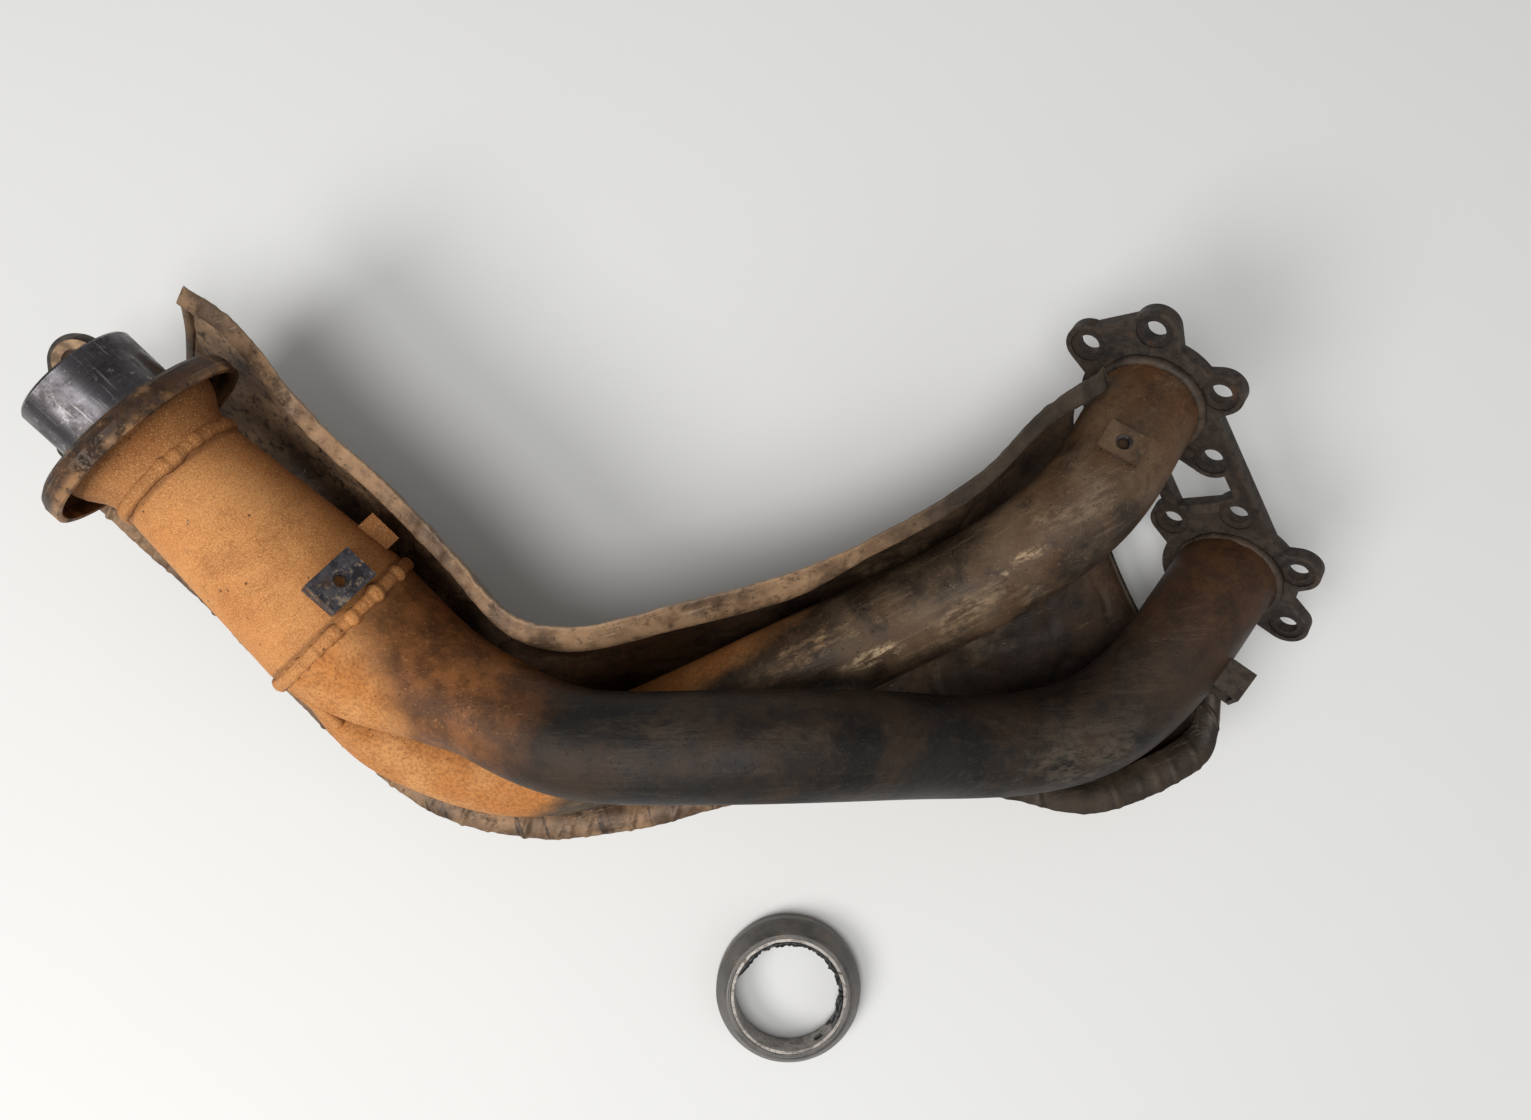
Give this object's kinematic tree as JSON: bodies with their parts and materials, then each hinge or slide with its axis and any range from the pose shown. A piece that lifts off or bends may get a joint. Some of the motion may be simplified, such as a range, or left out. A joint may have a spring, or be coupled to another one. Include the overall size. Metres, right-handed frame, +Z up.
{
  "type": "exhaust header",
  "caption": "Two-into-one tubular exhaust header with a head flange, a reducing collector cone, a swivel flange cup, half a heat shield and a loose outlet seal ring.",
  "frame": {"origin": "bottom centre of the bounding box, with the header lying on the back of its heat shield and the seal ring lying beside it", "axes": "+X along the longest extent, from the outlet end to the head-flange end; +Z up, away from the shield; +Y from the seal ring towards the header"},
  "size_m": [0.5618, 0.3552, 0.1381],
  "materials": {
    "runner_tube": "heat-stained stainless tube, dark brown to black with dust",
    "weld_bead": "rippled weld bead, dark",
    "flange_plate": "dark rusted plate, rough",
    "cone_tube": "stainless tube under orange-tan baked dust",
    "cone_weld": "rippled weld bead under orange-tan dust",
    "spigot_tube": "clean steel, turned, scratched",
    "cup_metal": "rusty brown pressed steel, scuffed",
    "seal_steel": "thin steel sleeve, worn",
    "seal_graphite": "pressed graphite and wire mesh, satin dark grey",
    "bracket_steel": "folded sheet steel, dark, speckled with dirt",
    "bolt_steel": "small hardware, dull",
    "shield_inner": "thin foil skin, brown with dust, creased",
    "shield_fibre": "mineral fibre mat, pale",
    "shield_outer": "thin sheet, dull brown, crimped",
    "tab_steel": "dark rusted strip",
    "bush_rubber": "dusty tan isolator bush"
  },
  "bodies": {
    "header": {"front_runner": "runner_tube", "back_runner": "runner_tube", "runner_seam_weld": "weld_bead", "head_flange": "flange_plate", "front_port_weld": "weld_bead", "back_port_weld": "weld_bead", "collector_cone": "cone_tube", "merge_weld": "cone_weld", "outlet_weld": "cone_weld", "outlet_neck": "cone_tube", "spigot": "spigot_tube", "spigot_weld": "weld_bead", "cone_bracket": "bracket_steel", "cone_side_bracket": "bracket_steel", "back_runner_bracket": "bracket_steel", "front_runner_bracket": "bracket_steel", "bracket_weld_nuts": "bracket_steel", "rear_brackets": "bracket_steel", "rear_weld_nuts": "bracket_steel", "shield_bolts": "bolt_steel", "shield_washers": "bolt_steel", "shield_liner": "shield_inner", "shield_blanket": "shield_fibre", "shield_skin": "shield_outer", "shield_hem": "shield_outer", "support_tab": "tab_steel", "tab_bush": "bush_rubber"},
    "swivel_cup": {"swivel_cup": "cup_metal"},
    "seal": {"seal_ring": "seal_graphite", "seal_core": "seal_steel"}
  },
  "joints": [
    {"name": "cup_turn", "type": "hinge", "parent": "header", "child": "swivel_cup", "pos_m": [-0.22116, 0.11454, 0.09428], "axis": [-0.6762, 0.7062, 0.2101], "continuous": true},
    {"name": "seal_lift", "type": "slide", "parent": "header", "child": "seal", "axis": [0, 0, 1], "range_m": [0, 0.15]}
  ]
}
